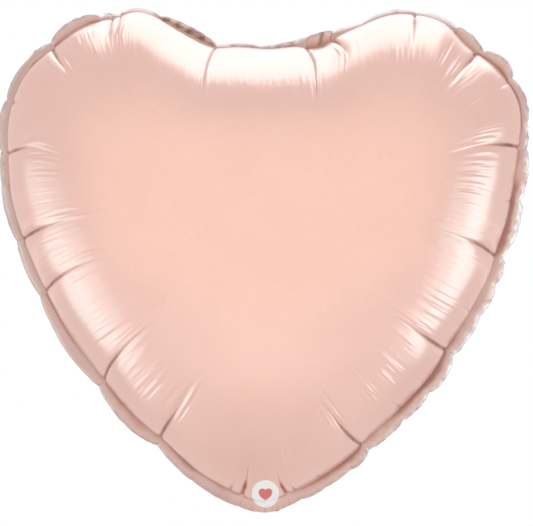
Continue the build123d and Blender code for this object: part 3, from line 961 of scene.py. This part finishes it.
def foil_material(name, rough=0.24, tint=(0.985, 0.645, 0.565)):
    m, nt, bsdf = new_material(name)
    co = node(nt, "ShaderNodeTexCoord").outputs["Object"]
    along, inward, border = attr(nt, "along"), attr(nt, "inward"), attr(nt, "border")
    comb = node(nt, "ShaderNodeCombineXYZ")
    nt.links.new(math_node(nt, "MULTIPLY", along, 0.001), comb.inputs[0])
    nt.links.new(math_node(nt, "MULTIPLY", inward, 0.00009), comb.inputs[1])
    strain = noise(nt, comb.outputs[0], 300.0, 2.0, 0.5)         # streaks square to the rim
    blotch = noise(nt, co, 14.0, 3.0, 0.55)
    grain = noise(nt, co, 900.0, 2.0, 0.5)
    fine = noise(nt, co, 160.0, 3.0, 0.6)
    # colour: vacuum-coated film under a tinted lacquer; the outer part of the border is
    # painted paler as a painted highlight, and sharp creases greyer as painted shade
    rim, fold = attr(nt, "rim"), attr(nt, "fold")
    deep = tuple(c * k for c, k in zip(tint, (0.985, 0.965, 0.955)))
    mixf = math_node(nt, "ADD", math_node(nt, "MULTIPLY", blotch, 0.6),
                     math_node(nt, "MULTIPLY", fine, 0.4))
    col = ramp(nt, mixf, [(0.36, deep), (0.62, tint)])

    def blend_colour(fac, a, b):
        n = node(nt, "ShaderNodeMix", data_type="RGBA", blend_type="MIX")
        nt.links.new(fac, n.inputs[0])
        nt.links.new(a, n.inputs[6])
        n.inputs[7].default_value = (*b, 1)
        return n.outputs[2]

    # painted highlight: the outer part of the border is painted near-white in patches, more on some sides than others
    patchy = noise(nt, co, 95.0, 3.0, 0.6)
    pale_highlight_band = math_node(nt, "MULTIPLY", math_node(nt, "SUBTRACT", rim, 0.42, clamp=True), 1.9, clamp=True)
    pale_highlight_on = node(nt, "ShaderNodeMapRange", interpolation_type="SMOOTHSTEP")
    for i, x in zip((1, 2, 3, 4), (0.38, 0.62, 0.15, 1.0)):
        pale_highlight_on.inputs[i].default_value = x
    nt.links.new(patchy, pale_highlight_on.inputs[0])
    pale = math_node(nt, "MULTIPLY", math_node(nt, "MULTIPLY", pale_highlight_band, pale_highlight_on.outputs[0]), attr(nt, "pale"))
    # the weld is duller than the film
    weld = math_node(nt, "MULTIPLY", border, 0.85)
    col = blend_colour(weld, col, (0.65, 0.435, 0.39))
    col = blend_colour(pale, col, (1.0, 0.92, 0.90))
    # painted shade: a dark line along the outermost edge of the border
    outer_edge_shade = math_node(nt, "MULTIPLY", math_node(nt, "SUBTRACT", rim, 0.955, clamp=True), 22.0, clamp=True)
    col = blend_colour(math_node(nt, "MULTIPLY", outer_edge_shade, 0.8), col, (0.46, 0.33, 0.30))
    # painted shade: greyer, darker colour along the creases, the seam valley and the neck crumples
    col = blend_colour(math_node(nt, "MULTIPLY", fold, 0.80), col, (0.47, 0.355, 0.33))
    # painted shade: dark brown, in patches, where the border is folded over and seen edge-on
    edge_on_shade_colour = ramp(nt, patchy, [(0.38, (0.22, 0.112, 0.092)), (0.60, (0.56, 0.33, 0.26))])
    folded = node(nt, "ShaderNodeMix", data_type="RGBA", blend_type="MIX")
    nt.links.new(math_node(nt, "MULTIPLY", attr(nt, "edge_on_shade_mask"), 0.92), folded.inputs[0])
    nt.links.new(col, folded.inputs[6])
    nt.links.new(edge_on_shade_colour, folded.inputs[7])
    col = folded.outputs[2]
    nt.links.new(col, bsdf.inputs["Base Color"])
    bsdf.inputs["Metallic"].default_value = 1.0
    r = math_node(nt, "ADD", rough - 0.04, math_node(nt, "MULTIPLY", blotch, 0.06))
    r = math_node(nt, "ADD", r, math_node(nt, "MULTIPLY", grain, 0.02))
    r = math_node(nt, "ADD", r, math_node(nt, "MULTIPLY", border, 0.07))
    nt.links.new(r, bsdf.inputs["Roughness"])
    # bump: fine strain lines near the rim, film grain, and the weld's hatching
    def ease(v, a, b):
        n = node(nt, "ShaderNodeMapRange", interpolation_type="SMOOTHSTEP")
        lo, hi, t0, t1 = (a, b, 0.0, 1.0) if a < b else (b, a, 1.0, 0.0)
        for i, x in zip((1, 2, 3, 4), (lo, hi, t0, t1)):
            n.inputs[i].default_value = x
        nt.links.new(v, n.inputs[0])
        return n.outputs[0]

    taut = math_node(nt, "MULTIPLY", ease(inward, 8.0, 40.0), ease(inward, 125.0, 60.0))
    taut = math_node(nt, "MULTIPLY", taut, ease(noise(nt, co, 11.0, 2.0, 0.5), 0.38, 0.60))
    h = math_node(nt, "MULTIPLY", strain, math_node(nt, "MULTIPLY", taut, 0.00042))
    h = math_node(nt, "ADD", h, math_node(nt, "MULTIPLY", fine, 0.000005))
    h = math_node(nt, "ADD", h, math_node(nt, "MULTIPLY", grain, 0.0000022))
    hatch_a = math_node(nt, "SINE", math_node(nt, "MULTIPLY", math_node(nt, "ADD", along, inward), 5.2))
    hatch_b = math_node(nt, "SINE", math_node(nt, "MULTIPLY", math_node(nt, "SUBTRACT", along, inward), 5.2))
    hatch = math_node(nt, "MULTIPLY", math_node(nt, "MAXIMUM", hatch_a, hatch_b), border)
    h = math_node(nt, "ADD", h, math_node(nt, "MULTIPLY", hatch, 0.000022))
    bump = node(nt, "ShaderNodeBump")
    bump.inputs["Strength"].default_value = 0.85
    bump.inputs["Distance"].default_value = 1.0
    nt.links.new(h, bump.inputs["Height"])
    nt.links.new(bump.outputs[0], bsdf.inputs["Normal"])
    return m


def film_material(name, tint=(0.88, 0.89, 0.90)):
    m, nt, bsdf = new_material(name)
    co = node(nt, "ShaderNodeTexCoord").outputs["Object"]
    a = noise(nt, co, 60.0, 3.0, 0.6)
    b = noise(nt, co, 700.0, 2.0, 0.5)
    col = ramp(nt, a, [(0.35, tuple(c * 0.94 for c in tint)), (0.65, tint)])
    nt.links.new(col, bsdf.inputs["Base Color"])
    nt.links.new(math_node(nt, "ADD", 0.26, math_node(nt, "MULTIPLY", b, 0.16)), bsdf.inputs["Roughness"])
    bsdf.inputs["Transmission Weight"].default_value = 0.35
    bsdf.inputs["IOR"].default_value = 1.5
    bump = node(nt, "ShaderNodeBump")
    bump.inputs["Strength"].default_value = 0.5
    bump.inputs["Distance"].default_value = 1.0
    h = math_node(nt, "ADD", math_node(nt, "MULTIPLY", a, 0.0002), math_node(nt, "MULTIPLY", b, 0.00001))
    nt.links.new(h, bump.inputs["Height"])
    nt.links.new(bump.outputs[0], bsdf.inputs["Normal"])
    return m


def ink_material(name):
    """Matt heat-resistant ink, printed as fine dots."""
    m, nt, bsdf = new_material(name)
    co = node(nt, "ShaderNodeTexCoord").outputs["Object"]
    v = node(nt, "ShaderNodeTexVoronoi")
    v.inputs["Scale"].default_value = 900.0
    nt.links.new(co, v.inputs["Vector"])
    col = ramp(nt, v.outputs["Distance"], [(0.25, (0.62, 0.20, 0.10)), (0.6, (0.80, 0.38, 0.22))])
    nt.links.new(col, bsdf.inputs["Base Color"])
    n = noise(nt, co, 300.0, 3.0, 0.6)
    nt.links.new(math_node(nt, "ADD", 0.62, math_node(nt, "MULTIPLY", n, 0.2)), bsdf.inputs["Roughness"])
    bump = node(nt, "ShaderNodeBump")
    bump.inputs["Strength"].default_value = 0.4
    bump.inputs["Distance"].default_value = 1.0
    nt.links.new(math_node(nt, "MULTIPLY", v.outputs["Distance"], 0.00003), bump.inputs["Height"])
    nt.links.new(bump.outputs[0], bsdf.inputs["Normal"])
    return m


def mark_material(name):
    """White ink disc with one plain coral heart."""
    m, nt, bsdf = new_material(name)
    co = node(nt, "ShaderNodeTexCoord").outputs["Object"]
    sep = node(nt, "ShaderNodeSeparateXYZ")
    nt.links.new(co, sep.inputs[0])
    size = 8.4 * MM
    x = math_node(nt, "DIVIDE", math_node(nt, "SUBTRACT", sep.outputs[0], MARK_C[0] * MM), size)
    z = math_node(nt, "DIVIDE", math_node(nt, "SUBTRACT", sep.outputs[2], (MARK_C[1] + 0.6) * MM), size)
    x2, z2 = math_node(nt, "MULTIPLY", x, x), math_node(nt, "MULTIPLY", z, z)
    t = math_node(nt, "SUBTRACT", math_node(nt, "ADD", x2, z2), 1.0)
    t3 = math_node(nt, "MULTIPLY", math_node(nt, "MULTIPLY", t, t), t)
    z3 = math_node(nt, "MULTIPLY", z2, z)
    f = math_node(nt, "SUBTRACT", t3, math_node(nt, "MULTIPLY", x2, z3))
    heart = math_node(nt, "MULTIPLY", f, -60.0)
    heart = math_node(nt, "ADD", heart, 0.5, clamp=True)
    n = noise(nt, co, 1500.0, 2.0, 0.5)
    white = ramp(nt, n, [(0.3, (0.93, 0.92, 0.91)), (0.7, (0.98, 0.97, 0.965))])
    coral = ramp(nt, n, [(0.3, (0.70, 0.13, 0.12)), (0.7, (0.82, 0.20, 0.17))])
    mx = node(nt, "ShaderNodeMix", data_type="RGBA", blend_type="MIX")
    nt.links.new(heart, mx.inputs[0])
    nt.links.new(white, mx.inputs[6])
    nt.links.new(coral, mx.inputs[7])
    nt.links.new(mx.outputs[2], bsdf.inputs["Base Color"])
    nt.links.new(math_node(nt, "ADD", 0.34, math_node(nt, "MULTIPLY", n, 0.12)), bsdf.inputs["Roughness"])
    bump = node(nt, "ShaderNodeBump")
    bump.inputs["Strength"].default_value = 0.3
    bump.inputs["Distance"].default_value = 1.0
    nt.links.new(math_node(nt, "MULTIPLY", n, 0.00001), bump.inputs["Height"])
    nt.links.new(bump.outputs[0], bsdf.inputs["Normal"])
    return m


FOIL = foil_material("rose_gold_foil")
FILM = film_material("valve_film")
INK = ink_material("release_ink")
MARK = mark_material("mark_ink")

for ob, mat, slot in ((front_film, FOIL, "foil"), (back_film, FOIL, "foil"),
                      (tail_outer, FOIL, "foil"), (tail_inner, FOIL, "foil"),
                      (film_outer, FILM, "valve_film"), (film_inner, FILM, "valve_film"),
                      (coat, INK, "release_ink"), (mark, MARK, "mark_ink")):
    ob.data.materials.append(mat)
for name in ("sleeve_front_film", "sleeve_back_film"):
    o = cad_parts[name]
    for i in range(len(o.material_slots)):
        o.material_slots[i].material = FILM
    if not o.material_slots:
        o.data.materials.append(FILM)
for o in (front_film, back_film):
    thicken(o, 0.12)

# ---------------------------------------------------------------------------
# Which body each piece rides on
# ---------------------------------------------------------------------------
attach(front_film, "envelope")
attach(back_film, "envelope")
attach(mark, "envelope")
for o in (tail_outer, tail_inner, film_outer, film_inner):
    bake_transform(o)
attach(coat, "tail")
for o, n in ((front_film, "front_panel"), (back_film, "back_panel"), (mark, "printed_roundel"),
             (tail_outer, "tail_outer_foil"), (tail_inner, "tail_inner_foil"),
             (film_outer, "tail_valve_outer_film"), (film_inner, "tail_valve_inner_film"),
             (coat, "valve_release_coat")):
    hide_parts(n)

# ---------------------------------------------------------------------------
# Studio: pale floor, white surround, soft boxes overhead and at both sides
# ---------------------------------------------------------------------------
FLOOR_Z = -0.36
bm_v, bm_f = [(0, 0, FLOOR_Z)], []
for r in (1.0, 2.2, 3.6):
    for k in range(96):
        a = 2 * math.pi * k / 96
        bm_v.append((r * math.cos(a), r * math.sin(a), FLOOR_Z))
for k in range(96):
    bm_f.append((0, 1 + k, 1 + (k + 1) % 96))
for ring in range(2):
    a, b = 1 + ring * 96, 1 + (ring + 1) * 96
    for k in range(96):
        bm_f.append((a + k, b + k, b + (k + 1) % 96, a + (k + 1) % 96))
floor = add_object("studio_floor", np.array(bm_v) / MM, bm_f, smooth=False)
m, nt, bsdf = new_material("studio_floor")
co = node(nt, "ShaderNodeTexCoord").outputs["Object"]
n = noise(nt, co, 30.0, 4.0, 0.5)
nt.links.new(ramp(nt, n, [(0.3, (0.775, 0.728, 0.702)), (0.7, (0.80, 0.754, 0.728))]), bsdf.inputs["Base Color"])
bsdf.inputs["Roughness"].default_value = 0.75
ln = node(nt, "ShaderNodeVectorMath", operation="LENGTH")
nt.links.new(co, ln.inputs[0])
fadeout = node(nt, "ShaderNodeMapRange", interpolation_type="SMOOTHSTEP")
fadeout.inputs[1].default_value = 0.05
fadeout.inputs[2].default_value = 1.55
nt.links.new(ln.outputs["Value"], fadeout.inputs[0])
em = node(nt, "ShaderNodeEmission")
mixs = node(nt, "ShaderNodeMixShader")
fsep = node(nt, "ShaderNodeSeparateXYZ")
nt.links.new(co, fsep.inputs[0])
step_far = node(nt, "ShaderNodeMapRange", interpolation_type="SMOOTHSTEP")
step_far.inputs[1].default_value = 2.0
step_far.inputs[2].default_value = 3.2
nt.links.new(ln.outputs["Value"], step_far.inputs[0])
aside = node(nt, "ShaderNodeMapRange", interpolation_type="SMOOTHSTEP")
for i, x in zip((1, 2, 3, 4), (0.15, 0.95, 1.0, 0.90)):
    aside.inputs[i].default_value = x
nt.links.new(math_node(nt, "ABSOLUTE", fsep.outputs[0]), aside.inputs[0])
nt.links.new(math_node(nt, "MAXIMUM", aside.outputs[0], step_far.outputs[0]), em.inputs["Strength"])
ahead = node(nt, "ShaderNodeMapRange", interpolation_type="SMOOTHSTEP")
for i, x in zip((1, 2, 3, 4), (-0.35, 0.45, 1.0, 0.0)):
    ahead.inputs[i].default_value = x
nt.links.new(fsep.outputs[1], ahead.inputs[0])
far = node(nt, "ShaderNodeMapRange", interpolation_type="SMOOTHSTEP")
far.inputs[1].default_value = 2.2
far.inputs[2].default_value = 3.5
nt.links.new(ln.outputs["Value"], far.inputs[0])
nt.links.new(math_node(nt, "MAXIMUM", far.outputs[0], math_node(nt, "MULTIPLY", fadeout.outputs[0], ahead.outputs[0])),
             mixs.inputs[0])
nt.links.new(bsdf.outputs[0], mixs.inputs[1])
nt.links.new(em.outputs[0], mixs.inputs[2])
nt.links.new(mixs.outputs[0], [x for x in nt.nodes if x.bl_idname == "ShaderNodeOutputMaterial"][0].inputs[0])
floor.data.materials.append(m)

world = bpy.data.worlds.new("studio")
scene.world = world
world.use_nodes = True
nt = world.node_tree
nt.nodes.clear()
wout = node(nt, "ShaderNodeOutputWorld")
bg = node(nt, "ShaderNodeBackground")
wco = node(nt, "ShaderNodeTexCoord").outputs["Generated"]
sep = node(nt, "ShaderNodeSeparateXYZ")
nt.links.new(wco, sep.inputs[0])
WX, WY, WZ = sep.outputs[0], sep.outputs[1], sep.outputs[2]


def step_up(v, a, b):
    """0 below a, 1 above b; falls instead when a is above b."""
    n = node(nt, "ShaderNodeMapRange", interpolation_type="SMOOTHSTEP")
    lo, hi, t0, t1 = (a, b, 0.0, 1.0) if a < b else (b, a, 1.0, 0.0)
    for i, x in zip((1, 2, 3, 4), (lo, hi, t0, t1)):
        n.inputs[i].default_value = x
    nt.links.new(v, n.inputs[0])
    return n.outputs[0]


def product(*v):
    out = v[0]
    for x in v[1:]:
        out = math_node(nt, "MULTIPLY", out, x)
    return out


raised = math_node(nt, "ADD", WY, math_node(nt, "MULTIPLY", math_node(nt, "MAXIMUM", WZ, 0.0), 0.12))
fill = math_node(nt, "ADD", step_up(raised, -0.35, -0.98), step_up(WY, 0.82, 1.0))
slant = math_node(nt, "ADD", WY, math_node(nt, "MULTIPLY", math_node(nt, "MINIMUM", WX, 0.36), 0.25))
top = product(step_up(slant, -0.16, -0.05), step_up(WZ, 0.34, 0.54), step_up(WX, -0.42, -0.28),
              step_up(WX, 0.65, 0.46), 0.86)
total = math_node(nt, "ADD", 0.80, math_node(nt, "MULTIPLY", fill, 0.20))
warm = node(nt, "ShaderNodeMix", data_type="RGBA", blend_type="MIX")
nt.links.new(fill, warm.inputs[0])
warm.inputs[6].default_value = (1, 1, 1, 1)
warm.inputs[7].default_value = (1.0, 0.967, 0.922, 1)
lp = node(nt, "ShaderNodeLightPath")
seen = node(nt, "ShaderNodeMix", data_type="FLOAT")
nt.links.new(lp.outputs["Is Camera Ray"], seen.inputs[0])
nt.links.new(total, seen.inputs[2])
seen.inputs[3].default_value = 1.0
nt.links.new(seen.outputs[0], bg.inputs["Strength"])
bg_top = node(nt, "ShaderNodeBackground")
bg_top.inputs["Color"].default_value = (0.66, 0.88, 1.0, 1)
nt.links.new(math_node(nt, "MULTIPLY", top, math_node(nt, "SUBTRACT", 1.0, lp.outputs["Is Camera Ray"])),
             bg_top.inputs["Strength"])
both = node(nt, "ShaderNodeAddShader")
nt.links.new(bg.outputs[0], both.inputs[0])
nt.links.new(bg_top.outputs[0], both.inputs[1])
plain = node(nt, "ShaderNodeMix", data_type="RGBA", blend_type="MIX")
nt.links.new(lp.outputs["Is Camera Ray"], plain.inputs[0])
nt.links.new(warm.outputs[2], plain.inputs[6])
plain.inputs[7].default_value = (1, 1, 1, 1)
nt.links.new(plain.outputs[2], bg.inputs["Color"])
nt.links.new(both.outputs[0], wout.inputs[0])


def soft_box(name, x, y0, y1, z0, z1, watts):
    """An upright area light at x, facing the middle of the set."""
    data = bpy.data.lights.new(name, "AREA")
    data.shape = "RECTANGLE"
    data.size, data.size_y = y1 - y0, z1 - z0
    data.energy = watts
    data.color = (0.42, 0.85, 1.0)
    ob = bpy.data.objects.new(name, data)
    scene.collection.objects.link(ob)
    ob.location = (x, (y0 + y1) / 2, (z0 + z1) / 2)
    ob.rotation_euler = (math.radians(90), 0, math.radians(90 if x > 0 else -90))
    ob.visible_camera = False
    return ob


# each side window is bright along its back and weaker towards the front
soft_box("soft_box_right_high", 0.85, -0.29, 0.02, 0.20, 0.52, 0.236)
soft_box("soft_box_right_high_edge", 0.85, -0.52, -0.29, 0.20, 0.52, 0.069)
soft_box("soft_box_right_low", 0.85, -0.23, 0.12, -0.24, 0.20, 0.344)
soft_box("soft_box_right_low_edge", 0.85, -0.46, -0.23, -0.24, 0.20, 0.096)
soft_box("soft_box_left_low", -0.85, -0.27, 0.14, -0.40, 0.22, 0.455)
soft_box("soft_box_left_low_edge", -0.85, -0.50, -0.27, -0.40, 0.22, 0.118)
soft_box("soft_box_left_high", -0.85, -0.23, 0.06, 0.22, 0.53, 0.095)
soft_box("soft_box_left_high_edge", -0.85, -0.42, -0.23, 0.22, 0.53, 0.030)

scene.view_settings.view_transform = "Standard"
scene.view_settings.look = "None"
scene.view_settings.exposure = 0.0
scene.view_settings.gamma = 1.0
